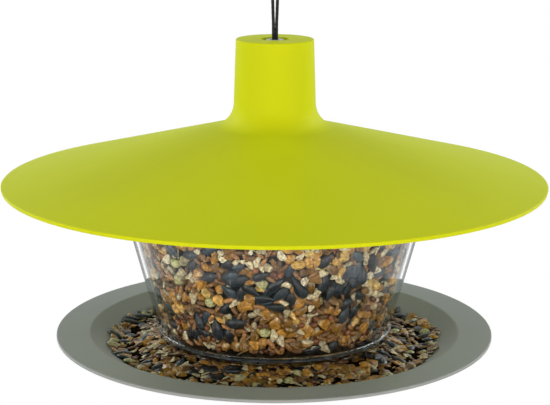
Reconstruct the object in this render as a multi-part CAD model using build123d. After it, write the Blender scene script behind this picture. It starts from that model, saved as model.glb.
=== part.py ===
from build123d import *
import os
from math import atan2, cos, degrees, hypot, pi, radians, sin, sqrt, tan
from random import Random

# A hanging seed feeder: a wide conical roof rests on a clear tapered hopper, which stands in a
# round tray. A cord runs up through a tube in the middle and carries the tray from a knot below.
# Millimetres, +Z up. The origin is the inside top of the hanging loop, and the feeder hangs from
# it on the Z axis, so the heights below it are negative.

# Roof, one moulded shell: a hollow neck that runs out into a shallow cone
ROOF_DIAMETER = 310.0
ROOF_WALL = 2.3
CONE_RISE = 33.2
NECK_TOP_DIAMETER = 44.0
NECK_HEIGHT = 47.0
NECK_DRAFT = 2.0
NECK_EDGE_RADIUS = 0.6
NECK_ROOT_RADIUS = 14.0
ROOF_EDGE_ROUNDING = 0.5

# Under the roof: a flat land that sits on the hopper's rim, a ring round that rim, and gussets
SEAT_LAND = 0.9
LID_CLEARANCE = 0.6
LID_RING_WALL = 1.8
LID_RING_DEPTH = 6.0
GUSSET_COUNT = 8
GUSSET_REACH = 18.0
GUSSET_WALL = 1.6

# Hopper, a clear tapered sleeve on legs, open at both ends
HOPPER_LIP_DIAMETER = 133.0
HOPPER_TAPER = 15.0
HOPPER_HEIGHT = 101.4
HOPPER_WALL = 2.4
LIP_HEIGHT = 4.8
LIP_BEAD = 0.8
HOPPER_RIM_WIDTH = 1.6
HOPPER_RIM_HEIGHT = 2.6
HOPPER_EDGE_ROUNDING = 0.6
LEG_COUNT = 4
LEG_WIDTH = 12.0
LEG_INSET = 0.6
LEG_ROOT = 0.6

# Clear height under the hopper's lip, where the seed runs out into the tray
FEED_GAP = 14.4

# Tray, a shallow dish: a floor a little wider than the hopper, a sloping wall and a flat rim.
# Its middle rises to a hub that sheds seed outwards, and a foot ring stands below the legs.
FLOOR_MARGIN = 12.5
BASIN_WALL_RUN = 28.0
TRAY_RIM_WIDTH = 19.2
TRAY_DEPTH = 16.3
TRAY_WALL = 1.9
BASIN_EDGE_RADIUS = 3.0
BASIN_FLOOR_RADIUS = 14.0
TRAY_EDGE_ROUNDING = 0.6
SPREADER_DIAMETER = 84.0
SPREADER_FOOT_RADIUS = 10.0
HUB_DROP = 2.2
HUB_MARGIN = 2.5
HUB_EDGE_RADIUS = 3.0
FOOT_WALL = 2.4
FOOT_HEIGHT = 2.0
SOCKET_CLEARANCE = 0.3
SOCKET_WALL = 1.5
SOCKET_HEIGHT = 4.0
DRAIN_COUNT = 8
DRAIN_DIAMETER = 4.0

# Cord: one length, doubled, with its bight round a hook and its ends tied in a barrel knot
CORD_DIAMETER = 1.8
STRAND_GAP = 0.5
LOOP_RISE = 100.0
STRAIGHT_EXIT = 8.0
BEND_SHARE = 0.45
HOOK_DIAMETER = 5.0
BIGHT_STRAIGHT = 0.1
KNOT_TURNS = 3
KNOT_CORE_MARGIN = 0.5
TAIL_LENGTH = 3.0

# Centre tube round the cord, with the flange that lifts the tray, and the washer under it
TUBE_BORE_CLEARANCE = 0.75
TUBE_WALL = 2.2
TUBE_CLEARANCE = 0.1
TUBE_RECESS = 0.4
NECK_HOLE_CLEARANCE = 2.9
FLANGE_DIAMETER = 24.0
FLANGE_HEIGHT = 2.0
WASHER_DIAMETER = 12.0
WASHER_HOLE_CLEARANCE = 0.25
WASHER_HEIGHT = 1.0

# Seed in the hopper, and the bed that it has run out into on the tray. Both are heaps with a
# pebbled skin, whose pebbles are this far apart and stand this high over the hollows round them.
SEED_FREEBOARD = 17.4
SEED_MOUND = 6.0
SEED_CROWN_DIAMETER = 48.0
SEED_CLEARANCE = 0.4
TRAY_SEED_RUN = 16.0
PEBBLE_SPACING = 20.0
PEBBLE_HEIGHT = 2.6
PEBBLE_VARIATION = 0.4
PEBBLE_SEED = 7

# How closely an edge's size and place must match when it is picked for rounding
PICK_TOLERANCE = 0.01

# Cord and tube radii
cord_radius = CORD_DIAMETER / 2
strand_x = (CORD_DIAMETER + STRAND_GAP) / 2
strands_radius = strand_x + cord_radius
tube_bore_radius = strands_radius + TUBE_BORE_CLEARANCE
tube_radius = tube_bore_radius + TUBE_WALL
flange_radius = FLANGE_DIAMETER / 2

# Hopper radii
lip_radius = HOPPER_LIP_DIAMETER / 2
taper = tan(radians(HOPPER_TAPER))
hopper_wall_across = HOPPER_WALL / cos(radians(HOPPER_TAPER))
hopper_top_radius = lip_radius + HOPPER_HEIGHT * taper
hopper_rim_radius = hopper_top_radius + HOPPER_RIM_WIDTH
leg_inner = lip_radius - hopper_wall_across + LEG_INSET
leg_outer = lip_radius + LIP_BEAD

# Tray radii and slopes
basin_floor = lip_radius + FLOOR_MARGIN
basin_edge = basin_floor + BASIN_WALL_RUN
tray_radius = basin_edge + TRAY_RIM_WIDTH
basin_slope = atan2(TRAY_DEPTH, BASIN_WALL_RUN)
hub_height = FEED_GAP - HUB_DROP
hub_radius = flange_radius + HUB_MARGIN
spreader_radius = SPREADER_DIAMETER / 2
spreader_slope = atan2(hub_height, spreader_radius - hub_radius)

# Roof radii and slope
roof_radius = ROOF_DIAMETER / 2
neck_top_radius = NECK_TOP_DIAMETER / 2
neck_root_radius = neck_top_radius + NECK_HEIGHT * tan(radians(NECK_DRAFT))
neck_hole_radius = tube_radius + NECK_HOLE_CLEARANCE
cone_slope = atan2(CONE_RISE, roof_radius - neck_root_radius)
lid_ring_inner = hopper_rim_radius + LID_CLEARANCE
lid_ring_outer = lid_ring_inner + LID_RING_WALL


def cone_above_rim(radius):
    """Height of the roof's outer cone above the upper edge of its rim."""
    return (roof_radius - radius) * tan(cone_slope)


# Heights, stacked from the foot ring up and then hung below the loop
seat_above_rim = cone_above_rim(lid_ring_outer) - ROOF_WALL / cos(cone_slope) - SEAT_LAND
floor_above_foot = FOOT_HEIGHT + TRAY_WALL
rim_above_foot = floor_above_foot + FEED_GAP + HOPPER_HEIGHT - seat_above_rim
foot_z = -(rim_above_foot + CONE_RISE + NECK_HEIGHT + LOOP_RISE)
floor_z = foot_z + floor_above_foot
tray_rim_z = floor_z + TRAY_DEPTH
hub_z = floor_z + hub_height
flange_top_z = hub_z - TRAY_WALL
washer_top_z = flange_top_z - FLANGE_HEIGHT
knot_top_z = washer_top_z - WASHER_HEIGHT
lip_z = floor_z + FEED_GAP
hopper_top_z = lip_z + HOPPER_HEIGHT
roof_rim_z = foot_z + rim_above_foot
neck_root_z = roof_rim_z + CONE_RISE
neck_top_z = neck_root_z + NECK_HEIGHT
tube_top_z = neck_top_z - TUBE_RECESS


def turned(outline):
    """Solid of revolution about Z of a closed outline drawn as (radius, height)."""
    return revolve(Plane.XZ * make_face(outline), Axis.Z)


def turned_points(*points):
    """Solid of revolution about Z of a polygon of (radius, height) points."""
    return turned(Polyline(*points, close=True))


def turned_shell(points, radii, wall):
    """Shell of even wall, turned about Z, whose upper face follows a line with rounded corners."""
    line = FilletPolyline(*points, radius=radii)
    return turned(offset(line, amount=wall, side=Side.RIGHT))


def ring(inner, outer, low, high):
    """Plain ring about Z."""
    return turned_points((inner, low), (outer, low), (outer, high), (inner, high))


def ring_sector(inner, outer, low, high, width):
    """Piece of a ring, as long as `width` along its middle radius, centred on +X."""
    angle = degrees(2 * width / (inner + outer))
    section = Polyline((inner, low), (outer, low), (outer, high), (inner, high), close=True)
    piece = revolve(Plane.XZ * make_face(section), Axis.Z, revolution_arc=angle)
    return Rot(Z=-angle / 2) * piece


def around(shape, count):
    """Copies of a shape at even angles about Z, starting half a step from +X."""
    return [Rot(Z=(turn + 0.5) * 360 / count) * shape for turn in range(count)]


def round_edges(solid, radius, height):
    """Circular edges of a turned solid at one radius and height."""
    return [
        edge
        for edge in solid.edges().filter_by(GeomType.CIRCLE)
        if abs(edge.radius - radius) < PICK_TOLERANCE
        and abs(edge.center().Z - height) < PICK_TOLERANCE
    ]


def make_roof():
    """Neck and cone as one shell, with the seat, locating ring and gussets on its underside."""
    shell = turned_shell(
        [
            (neck_hole_radius, neck_top_z),
            (neck_top_radius, neck_top_z),
            (neck_root_radius, neck_root_z),
            (roof_radius, roof_rim_z),
        ],
        [NECK_EDGE_RADIUS, NECK_ROOT_RADIUS],
        ROOF_WALL,
    )
    circles = shell.edges().filter_by(GeomType.CIRCLE)
    rim_edges = [edge for edge in circles if edge.radius > roof_radius - ROOF_WALL]
    shell = fillet(rim_edges, ROOF_EDGE_ROUNDING)

    def mid_wall(radius):
        """Height of the middle of the cone's wall, where the parts below it take root."""
        return roof_rim_z + cone_above_rim(radius) - ROOF_WALL / cos(cone_slope) / 2

    seat_inner = hopper_top_radius - hopper_wall_across
    ring_low = hopper_top_z - LID_RING_DEPTH
    seat = turned_points(
        (seat_inner, hopper_top_z),
        (lid_ring_inner, hopper_top_z),
        (lid_ring_inner, ring_low),
        (lid_ring_outer, ring_low),
        (lid_ring_outer, mid_wall(lid_ring_outer)),
        (seat_inner, mid_wall(seat_inner)),
    )
    gusset_root = (lid_ring_inner + lid_ring_outer) / 2
    gusset_outer = lid_ring_outer + GUSSET_REACH
    gusset_outline = Polyline(
        (gusset_root, ring_low),
        (lid_ring_outer, ring_low),
        (gusset_outer, mid_wall(gusset_outer)),
        (gusset_root, mid_wall(gusset_root)),
        close=True,
    )
    gusset = extrude(Plane.XZ * make_face(gusset_outline), GUSSET_WALL / 2, both=True)
    return shell + [seat] + around(gusset, GUSSET_COUNT)


def make_hopper():
    """Tapered clear sleeve: beaded lip, flat rim for the roof, and legs that stand in the tray."""
    bead_top_z = lip_z + LIP_HEIGHT
    bead_top_radius = lip_radius + LIP_HEIGHT * taper
    rim_low_z = hopper_top_z - HOPPER_RIM_HEIGHT
    sleeve = turned_points(
        (lip_radius - hopper_wall_across, lip_z),
        (lip_radius + LIP_BEAD, lip_z),
        (bead_top_radius + LIP_BEAD, bead_top_z),
        (bead_top_radius, bead_top_z),
        (hopper_top_radius - HOPPER_RIM_HEIGHT * taper, rim_low_z),
        (hopper_rim_radius, rim_low_z),
        (hopper_rim_radius, hopper_top_z),
        (hopper_top_radius - hopper_wall_across, hopper_top_z),
    )
    rounded = round_edges(sleeve, bead_top_radius + LIP_BEAD, bead_top_z)
    rounded += round_edges(sleeve, hopper_rim_radius, rim_low_z)
    rounded += round_edges(sleeve, hopper_rim_radius, hopper_top_z)
    sleeve = fillet(rounded, HOPPER_EDGE_ROUNDING)
    leg = ring_sector(leg_inner, leg_outer, floor_z, lip_z + LEG_ROOT, LEG_WIDTH)
    return sleeve + around(leg, LEG_COUNT)


def leg_surround(margin, low, high):
    """Room round one leg, wider than it by a margin on every side."""
    return ring_sector(leg_inner - margin, leg_outer + margin, low, high, LEG_WIDTH + 2 * margin)


def make_tray():
    """Dish of even wall with its spreader, hub hole, foot ring, leg sockets and drain holes."""
    dish = turned_shell(
        [
            (tube_radius + TUBE_CLEARANCE, hub_z),
            (hub_radius, hub_z),
            (spreader_radius, floor_z),
            (basin_floor, floor_z),
            (basin_edge, tray_rim_z),
            (tray_radius, tray_rim_z),
        ],
        [HUB_EDGE_RADIUS, SPREADER_FOOT_RADIUS, BASIN_FLOOR_RADIUS, BASIN_EDGE_RADIUS],
        TRAY_WALL,
    )
    rim_edges = round_edges(dish, tray_radius, tray_rim_z)
    rim_edges += round_edges(dish, tray_radius, tray_rim_z - TRAY_WALL)
    dish = fillet(rim_edges, TRAY_EDGE_ROUNDING)

    mid_floor_z = floor_z - TRAY_WALL / 2
    foot_middle = (leg_inner + leg_outer) / 2
    foot = ring(foot_middle - FOOT_WALL / 2, foot_middle + FOOT_WALL / 2, foot_z, mid_floor_z)
    socket_top_z = floor_z + SOCKET_HEIGHT
    socket = leg_surround(SOCKET_CLEARANCE + SOCKET_WALL, mid_floor_z, socket_top_z)
    socket -= leg_surround(SOCKET_CLEARANCE, floor_z, socket_top_z)

    flat_floor = basin_floor - BASIN_FLOOR_RADIUS * tan(basin_slope / 2)
    drain_circle = (leg_outer + SOCKET_CLEARANCE + SOCKET_WALL + flat_floor) / 2
    drain = Pos(drain_circle, 0, mid_floor_z) * Cylinder(DRAIN_DIAMETER / 2, 2 * TRAY_WALL)
    return dish + [foot] + around(socket, LEG_COUNT) - around(drain, DRAIN_COUNT)


def make_centre_tube():
    """Tube from the tray's hub up into the neck's hole, with the flange that lifts the hub."""
    tube = ring(tube_bore_radius, tube_radius, washer_top_z, tube_top_z)
    return tube + ring(tube_bore_radius, flange_radius, washer_top_z, flange_top_z)


def make_washer():
    """Flat washer between the knot and the tube's flange."""
    hole_radius = strands_radius + WASHER_HOLE_CLEARANCE
    return ring(hole_radius, WASHER_DIAMETER / 2, knot_top_z, washer_top_z)


def make_knot():
    """Barrel knot: round turns stacked on the doubled cord, with two short tails."""
    turn_height = CORD_DIAMETER + STRAND_GAP
    core_radius = strands_radius + KNOT_CORE_MARGIN
    knot_low_z = knot_top_z - KNOT_TURNS * turn_height
    knot = ring(0, core_radius, knot_low_z, knot_top_z)
    for turn in range(KNOT_TURNS):
        middle_z = knot_top_z - (turn + 0.5) * turn_height
        knot += Pos(0, 0, middle_z) * Torus(core_radius, turn_height / 2)
    for side in (-1, 1):
        knot += Pos(side * strand_x, 0, knot_low_z) * Cylinder(cord_radius, 2 * TAIL_LENGTH)
    return knot


def make_cord_legs():
    """The two strands inside the tube, from the knot up to the tube's mouth."""
    length = tube_top_z - knot_top_z
    middle_z = (tube_top_z + knot_top_z) / 2
    strand = Cylinder(cord_radius, length)
    return [Pos(side * strand_x, 0, middle_z) * strand for side in (-1, 1)]


def make_hanging_loop():
    """Free stretch: up out of the tube, straight to the hook, round it, and back down."""
    bend_z = tube_top_z + STRAIGHT_EXIT
    bight_radius = (HOOK_DIAMETER + CORD_DIAMETER) / 2
    lean = atan2(bight_radius - strand_x, -bend_z)
    shoulder_x = bight_radius * tan((pi / 2 + lean) / 2) + BIGHT_STRAIGHT
    route = [
        (-strand_x, tube_top_z),
        (-strand_x, bend_z),
        (-shoulder_x, cord_radius),
        (shoulder_x, cord_radius),
        (strand_x, bend_z),
        (strand_x, tube_top_z),
    ]
    bend = atan2(shoulder_x - strand_x, cord_radius - bend_z)
    bend_radius = BEND_SHARE * STRAIGHT_EXIT / tan(bend / 2)
    radii = [bend_radius, bight_radius, bight_radius, bend_radius]
    path = Plane.XZ * FilletPolyline(*route, radius=radii)
    section = Plane(origin=path @ 0, z_dir=path % 0) * Circle(cord_radius)
    loop = sweep(section, path)
    volume_share = loop.volume / (pi * cord_radius**2 * path.length)
    print("cord bend radii", [round(radius, 1) for radius in radii])
    print("loop length", round(path.length, 1), "volume against section", round(volume_share, 4))
    return loop


def lattice_rows(profile):
    """Rows of (radius, height, lean of the skin, pebble height) along a line of corners.

    Rows are half a pebble's spacing apart, and those at the line's corners have no pebbles.
    """
    rows = []
    for (start_radius, start_z), (end_radius, end_z) in zip(profile, profile[1:]):
        across, up = end_radius - start_radius, end_z - start_z
        steps = max(1, round(2 * hypot(across, up) / PEBBLE_SPACING))
        for step in range(steps):
            share = step / steps
            height = PEBBLE_HEIGHT if step else 0
            rows.append((start_radius + share * across, start_z + share * up, atan2(-across, up), height))
    return rows + [(*profile[-1], 0, 0)]


def pebbled_heap(profile):
    """Closed heap about Z under a line of (radius, height) corners, with triangular facets.

    The rows make a lattice of triangles. Every third point of it is a pebble's crest, on the line,
    and the six points round a crest are hollows, of uneven depth.
    """
    uneven = Random(PEBBLE_SEED)
    widest = max(radius for radius, _ in profile)
    columns = 3 * round(2 * pi * widest / (sqrt(3) * PEBBLE_SPACING))
    lattice = []
    for row, (radius, z, lean, height) in enumerate(lattice_rows(profile)):
        ring_points = []
        for column in range(columns):
            is_crest = (column - row // 2 - row) % 3 == 0
            depth = 0 if is_crest else height * (1 - PEBBLE_VARIATION * uneven.random())
            angle = 2 * pi * (column + row % 2 / 2) / columns
            reach = radius - depth * cos(lean)
            ring_points.append((reach * cos(angle), reach * sin(angle), z - depth * sin(lean)))
        lattice.append(ring_points)

    facets = [lattice[0][::-1], lattice[-1]]
    for row, (lower, upper) in enumerate(zip(lattice, lattice[1:])):
        for column in range(columns):
            after = (column + 1) % columns
            if row % 2 == 0:
                facets.append((lower[column], lower[after], upper[column]))
                facets.append((lower[after], upper[after], upper[column]))
            else:
                facets.append((lower[column], lower[after], upper[after]))
                facets.append((lower[column], upper[after], upper[column]))
    return Solid(Shell([Face(Wire.make_polygon(corners)) for corners in facets]))


def make_hopper_seed():
    """Seed inside the hopper, clear of its wall and of the tube, with a low mound on top."""
    fill_height = HOPPER_HEIGHT - SEED_FREEBOARD
    lip_inner = lip_radius - hopper_wall_across - SEED_CLEARANCE
    crown_z = lip_z + fill_height + SEED_MOUND
    heap = pebbled_heap(
        [
            (lip_inner, lip_z),
            (lip_inner + fill_height * taper, lip_z + fill_height),
            (SEED_CROWN_DIAMETER / 2, crown_z),
        ]
    )
    bore = Cylinder(tube_radius + SEED_CLEARANCE, 2 * HOPPER_HEIGHT)
    return heap - Pos(0, 0, lip_z) * bore


def make_tray_seed():
    """Seed bed in the tray: level under the hopper, sloping to the basin's wall, clear of the legs."""
    low_z = floor_z + SEED_CLEARANCE
    top_z = lip_z - SEED_CLEARANCE
    spreader_foot = spreader_radius + SEED_CLEARANCE * tan(spreader_slope / 2)
    basin_foot = basin_floor - SEED_CLEARANCE * tan(basin_slope / 2)
    underside = FilletPolyline(
        (spreader_foot - FEED_GAP / tan(spreader_slope), low_z + FEED_GAP),
        (spreader_foot, low_z),
        (basin_foot, low_z),
        (basin_foot + FEED_GAP / tan(basin_slope), low_z + FEED_GAP),
        radius=[SPREADER_FOOT_RADIUS - SEED_CLEARANCE, BASIN_FLOOR_RADIUS - SEED_CLEARANCE],
    )
    room = turned([underside, Line(underside @ 1, underside @ 0)])

    edge_radius = basin_foot + TRAY_SEED_RUN
    edge_z = low_z + TRAY_SEED_RUN * tan(basin_slope)
    fall = (top_z - edge_z) / (edge_radius - leg_outer)
    heap_radius = edge_radius + PEBBLE_SPACING / 4
    heap = pebbled_heap(
        [
            (heap_radius, floor_z),
            (heap_radius, top_z - fall * (heap_radius - leg_outer)),
            (leg_outer, top_z),
        ]
    )
    leg_gap = leg_surround(SOCKET_CLEARANCE + SOCKET_WALL + SEED_CLEARANCE, floor_z, lip_z)
    return (room & heap) - around(leg_gap, LEG_COUNT)


def write(node, shape):
    """Write one node as STEP; a list of solids stays separate solids in that node."""
    whole = Compound(children=shape) if isinstance(shape, list) else shape
    export_step(whole, f"parts/{node}.step")


os.makedirs("parts", exist_ok=True)
write("roof_shell", make_roof())
write("seed_hopper", make_hopper())
write("feed_tray", make_tray())
write("centre_tube", make_centre_tube())
write("knot_washer", make_washer())
write("stopper_knot", make_knot())
write("cord_legs", make_cord_legs())
write("hanging_loop", make_hanging_loop())
write("hopper_seed", make_hopper_seed())
write("tray_seed", make_tray_seed())
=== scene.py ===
"""A hanging seed feeder: lime roof, clear hopper full of mixed seed, grey tray and a thin black cord."""
from typing import Callable, NamedTuple

import bpy
import numpy as np
from bpy.props import FloatProperty, FloatVectorProperty, IntProperty, PointerProperty
from mathutils import Matrix, Vector


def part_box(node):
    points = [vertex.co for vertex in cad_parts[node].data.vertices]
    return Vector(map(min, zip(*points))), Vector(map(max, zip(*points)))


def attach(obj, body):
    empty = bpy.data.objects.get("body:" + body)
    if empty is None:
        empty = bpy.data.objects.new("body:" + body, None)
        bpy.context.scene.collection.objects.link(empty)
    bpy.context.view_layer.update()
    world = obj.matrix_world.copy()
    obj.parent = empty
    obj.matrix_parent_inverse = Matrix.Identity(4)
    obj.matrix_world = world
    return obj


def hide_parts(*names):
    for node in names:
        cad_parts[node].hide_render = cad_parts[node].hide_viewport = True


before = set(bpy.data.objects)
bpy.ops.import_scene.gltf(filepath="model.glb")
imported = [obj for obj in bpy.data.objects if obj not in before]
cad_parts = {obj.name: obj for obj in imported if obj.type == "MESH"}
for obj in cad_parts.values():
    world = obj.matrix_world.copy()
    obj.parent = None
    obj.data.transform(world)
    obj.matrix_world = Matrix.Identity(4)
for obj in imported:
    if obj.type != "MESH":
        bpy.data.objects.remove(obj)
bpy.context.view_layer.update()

bl_info = {
    "name": "Hanging seed feeder",
    "version": (1, 0, 0),
    "blender": (4, 5, 0),
    "location": "View3D > Sidebar > Feeder",
    "description": "Finishes a hanging seed feeder: mouldings, clear hopper, cord, knot, seed and stage",
    "category": "Object",
}

MM = 0.001
TURN = 2 * np.pi
RANDOM_SEED = 20


def linear(hex_colour):
    """Linear red, green and blue of an sRGB hex colour."""
    srgb = np.array([int(hex_colour[i:i + 2], 16) for i in (0, 2, 4)]) / 255
    return tuple(np.where(srgb <= 0.04045, srgb / 12.92, ((srgb + 0.055) / 1.055) ** 2.4).tolist())


def colour(name, description, hex_colour):
    """A colour setting whose default is an sRGB hex colour."""
    return FloatVectorProperty(name=name, description=description, subtype="COLOR", size=3, min=0, max=1,
                               default=linear(hex_colour))


def size(name, description, millimetres):
    """A length setting in metres whose default is given in millimetres."""
    return FloatProperty(name=name, description=description, unit="LENGTH", precision=5,
                         default=millimetres * MM)


def number(name, description, default, subtype="NONE"):
    """A plain setting, or one with a subtype such as an angle or a power."""
    return FloatProperty(name=name, description=description, default=default, subtype=subtype)


# Settings

class FeederFinish(bpy.types.PropertyGroup):
    """Colours of the feeder's own pieces, and the thickness of its cord"""

    lime: colour("Roof lime", "Polypropylene of the roof", "C2CC0E")
    grey: colour("Tray grey", "Polypropylene of the tray", "8E9494")
    tube: colour("Tube grey", "Extruded tube round the cord", "B4B6B2")
    clear: colour("Hopper tint", "What the clear wall lets through", "F8FAFA")
    steel: colour("Washer steel", "Zinc plated washer under the tube", "B9BCC0")
    cord: colour("Cord black", "Braided cord", "0D0E10")
    cord_diameter: size("Cord diameter", "Thickness of one strand of the cord", 1.8)


class FeederSeed(bpy.types.PropertyGroup):
    """Sizes, colours and amounts of the seed mix"""

    sunflower_length: size("Sunflower", "Length of a sunflower seed", 12.6)
    maize_length: size("Maize", "Length of a piece of cracked maize", 6.8)
    wheat_length: size("Wheat", "Length of a grain of wheat", 6.2)
    flake_length: size("Flake", "Length of a cereal flake", 5.8)
    sorghum_length: size("Sorghum", "Width of a grain of sorghum", 4.0)
    pea_length: size("Split pea", "Width of half a pea", 8.2)
    straw_length: size("Straw", "Length of a bit of straw", 8.5)
    sunflower: colour("Sunflower hull", "Blue-black hull", "1F2C37")
    maize: colour("Maize skin", "Amber skin of cracked maize", "CA943A")
    wheat: colour("Wheat bran", "Brown bran of wheat", "9B7142")
    flake: colour("Flake cream", "Pale cereal flake", "D2C8A2")
    sorghum: colour("Sorghum red", "Red-brown skin of sorghum", "7E4C2C")
    pea: colour("Pea green", "Cut split pea", "7C9440")
    straw: colour("Straw", "Dry chaff", "CDBA85")
    # Painted shade for the dark core between the seeds, and painted light for its grey band behind the
    # hopper's lip
    shade: colour("Seed shade", "Depth between the seeds", "33291F")
    painted_lip_light: colour("Seed dust", "Fine grey dust behind the hopper's lip", "5A656D")
    hopper_count: IntProperty(name="Hopper layer", description="Seeds in one layer of the hopper's pile",
                              default=3000, min=100)
    tray_count: IntProperty(name="Tray layer", description="Seeds in one layer of the tray's bed",
                            default=2400, min=100)


class FeederStage(bpy.types.PropertyGroup):
    """Camera, light and floor"""

    camera_distance: size("Camera distance", "Level distance from the cord's axis", 903.3)
    camera_height: size("Camera height", "Height above the roof's lower edge", 196.0)
    camera_side: size("Camera side", "Camera's place to the right of the cord's axis", 0.3)
    camera_pitch: number("Camera pitch", "How far the camera looks down", 0.2264, "ANGLE")
    camera_roll: number("Camera roll", "How far the camera leans to the left", 0.0031, "ANGLE")
    camera_lens: number("Lens", "Focal length in millimetres", 105.57, "DISTANCE_CAMERA")
    floor_drop: size("Floor drop", "Floor's distance below the tray's foot", 300)
    front_light: number("Front light", "Power of the softbox below the camera", 8.6, "POWER")
    side_light: number("Side light", "Power of each softbox to the left and right", 8.6, "POWER")
    rear_light: number("Rear light", "Power of each softbox behind the feeder", 11.4, "POWER")
    backdrop: number("Backdrop", "Brightness of the backdrop through the clear hopper", 0.5)
    strips: number("Strips", "Brightness of the floor's light strips in reflections", 3.0)
    walls: number("Walls", "Light from the studio's walls", 0.9)
    ceiling: number("Ceiling", "Light from the studio's ceiling", 0.385)


# Meshes

def tube_faces(rings, sides):
    """Corners and corner counts of a closed tube's faces: a pole, rings of points, and a pole."""
    side = np.arange(sides)
    after = (side + 1) % sides
    start = np.stack((np.zeros(sides, int), 1 + after, 1 + side), 1)
    ring = 1 + sides * np.arange(rings - 1)[:, None]
    quads = np.stack((ring + side, ring + after, ring + sides + after, ring + sides + side), 2)
    last = 1 + sides * (rings - 1)
    end = np.stack((np.full(sides, last + sides), last + side, last + after), 1)
    corners = np.concatenate((start.ravel(), quads.ravel(), end.ravel()))
    counts = np.concatenate((np.full(sides, 3), np.full(quads.size // 4, 4), np.full(sides, 3)))
    return corners, counts


def ring_faces(rings, sides):
    """Corners and corner counts of a closed ring's faces: a loop of points turned right round."""
    ring = sides * np.arange(rings)[:, None]
    ring_after = sides * ((np.arange(rings) + 1) % rings)[:, None]
    side = np.arange(sides)
    after = (side + 1) % sides
    quads = np.stack((ring + side, ring + after, ring_after + after, ring_after + side), 2)
    return quads.ravel(), np.full(quads.size // 4, 4)


def put(name, data):
    """New object in the scene."""
    made = bpy.data.objects.new(name, data)
    bpy.context.scene.collection.objects.link(made)
    return made


def put_mesh(name, points, corners, counts, smooth=True, **attributes):
    """Mesh object at the origin from points and faces, smooth or faceted, with named point attributes."""
    mesh = bpy.data.meshes.new(name)
    mesh.vertices.add(len(points))
    mesh.vertices.foreach_set("co", np.asarray(points, np.float32).ravel())
    mesh.loops.add(len(corners))
    mesh.loops.foreach_set("vertex_index", np.asarray(corners, np.int32))
    mesh.polygons.add(len(counts))
    starts = np.concatenate(([0], np.cumsum(counts)[:-1]))
    mesh.polygons.foreach_set("loop_start", starts.astype(np.int32))
    mesh.update(calc_edges=True)
    if smooth:
        mesh.shade_smooth()
    else:
        mesh.shade_flat()
    for label, values in attributes.items():
        kind, field = ("FLOAT", "value") if values.ndim == 1 else ("FLOAT_VECTOR", "vector")
        mesh.attributes.new(label, kind, "POINT").data.foreach_set(field, values.astype(np.float32).ravel())
    if mesh.validate():
        raise RuntimeError(f"{name} has faces that had to be repaired")
    return put(name, mesh)


def dress(piece, material, body, slot, *nodes):
    """Give a piece its material and body, and the CAD nodes that it stands for. The slot is not used."""
    piece.data.materials.append(material)
    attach(piece, body)
    if nodes:
        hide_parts(*nodes)
    return piece


def unit(vectors):
    """Vectors scaled to length one."""
    return vectors / np.linalg.norm(vectors, axis=-1, keepdims=True)


def wrapped(angle):
    """Angle brought to between -pi and pi."""
    return (angle + np.pi) % TURN - np.pi


def off_axis(points):
    """Distance of points from the Z axis."""
    return np.hypot(points[..., 0], points[..., 1])


def round_axis(radius, angle, height):
    """Points at radii, angles and heights about the Z axis."""
    return np.stack(np.broadcast_arrays(radius * np.cos(angle), radius * np.sin(angle), height), -1)


# Materials

WHITE = linear("FFFFFF")


def add(tree, kind, inputs=None, stops=None, **settings):
    """Add a shader node: settings are its own properties, stops a ramp's, and inputs are values, sockets,
    or nodes that give their first output in use."""
    made = tree.nodes.new("ShaderNode" + kind)
    for name, value in settings.items():
        setattr(made, name, value)
    for key, value in (inputs or {}).items():
        socket = made.inputs[key]
        if isinstance(value, bpy.types.Node):
            value = next(output for output in value.outputs if output.enabled)
        if isinstance(value, bpy.types.NodeSocket):
            tree.links.new(value, socket)
        elif socket.type == "RGBA":
            socket.default_value = (*value, 1)
        else:
            socket.default_value = value
    if stops:
        elements = made.color_ramp.elements
        while len(elements) < len(stops):
            elements.new(1)
        for element, (place, shade) in zip(elements, stops):
            element.position = place
            element.color = (*shade, 1)
    return made


def new_material(name):
    """Material and its empty node tree."""
    material = bpy.data.materials.new(name)
    material.use_nodes = True
    tree = material.node_tree
    tree.nodes.clear()
    return material, tree


def toned(shade, factor):
    """A linear colour made darker or lighter."""
    return tuple(min(1, channel * factor) for channel in shade)


def blend(first, second, share):
    """A linear colour part of the way from one to another."""
    return tuple((1 - share) * a + share * b for a, b in zip(first, second))


def moulded_plastic(name, shade, roughness, specular, grain):
    """Injection moulded polypropylene from a spark-eroded tool: an even satin skin.

    The eye sees a matt colour, a faint cloudiness where the melt flowed, and a fine grain that
    breaks up the highlights. The real grain is about 0.1 mm and is drawn coarser, so that it shows.
    """
    cloud_width = 45 * MM
    grain_depth = 0.06 * MM
    unevenness = 0.06
    cloudiness = 0.04
    material, tree = new_material(name)
    place = add(tree, "TexCoord").outputs["Object"]
    cloud = add(tree, "TexNoise", {"Vector": place, "Scale": 1 / cloud_width, "Detail": 3.0})
    fleck = add(tree, "TexNoise", {"Vector": place, "Scale": 1 / grain, "Detail": 2.0})
    darker, lighter = toned(shade, 1 - cloudiness), toned(shade, 1 + cloudiness)
    body = add(tree, "Mix", {0: cloud, 6: darker, 7: lighter}, data_type="RGBA")
    skin = add(tree, "MapRange", {"Value": fleck, "To Min": roughness - unevenness,
                                  "To Max": roughness + unevenness})
    bump = add(tree, "Bump", {"Height": fleck, "Strength": 0.25, "Distance": grain_depth})
    shader = add(tree, "BsdfPrincipled", {
        "Base Color": body, "Roughness": skin, "IOR": 1.49, "Specular IOR Level": specular, "Normal": bump})
    add(tree, "OutputMaterial", {"Surface": shader})
    return material


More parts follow.
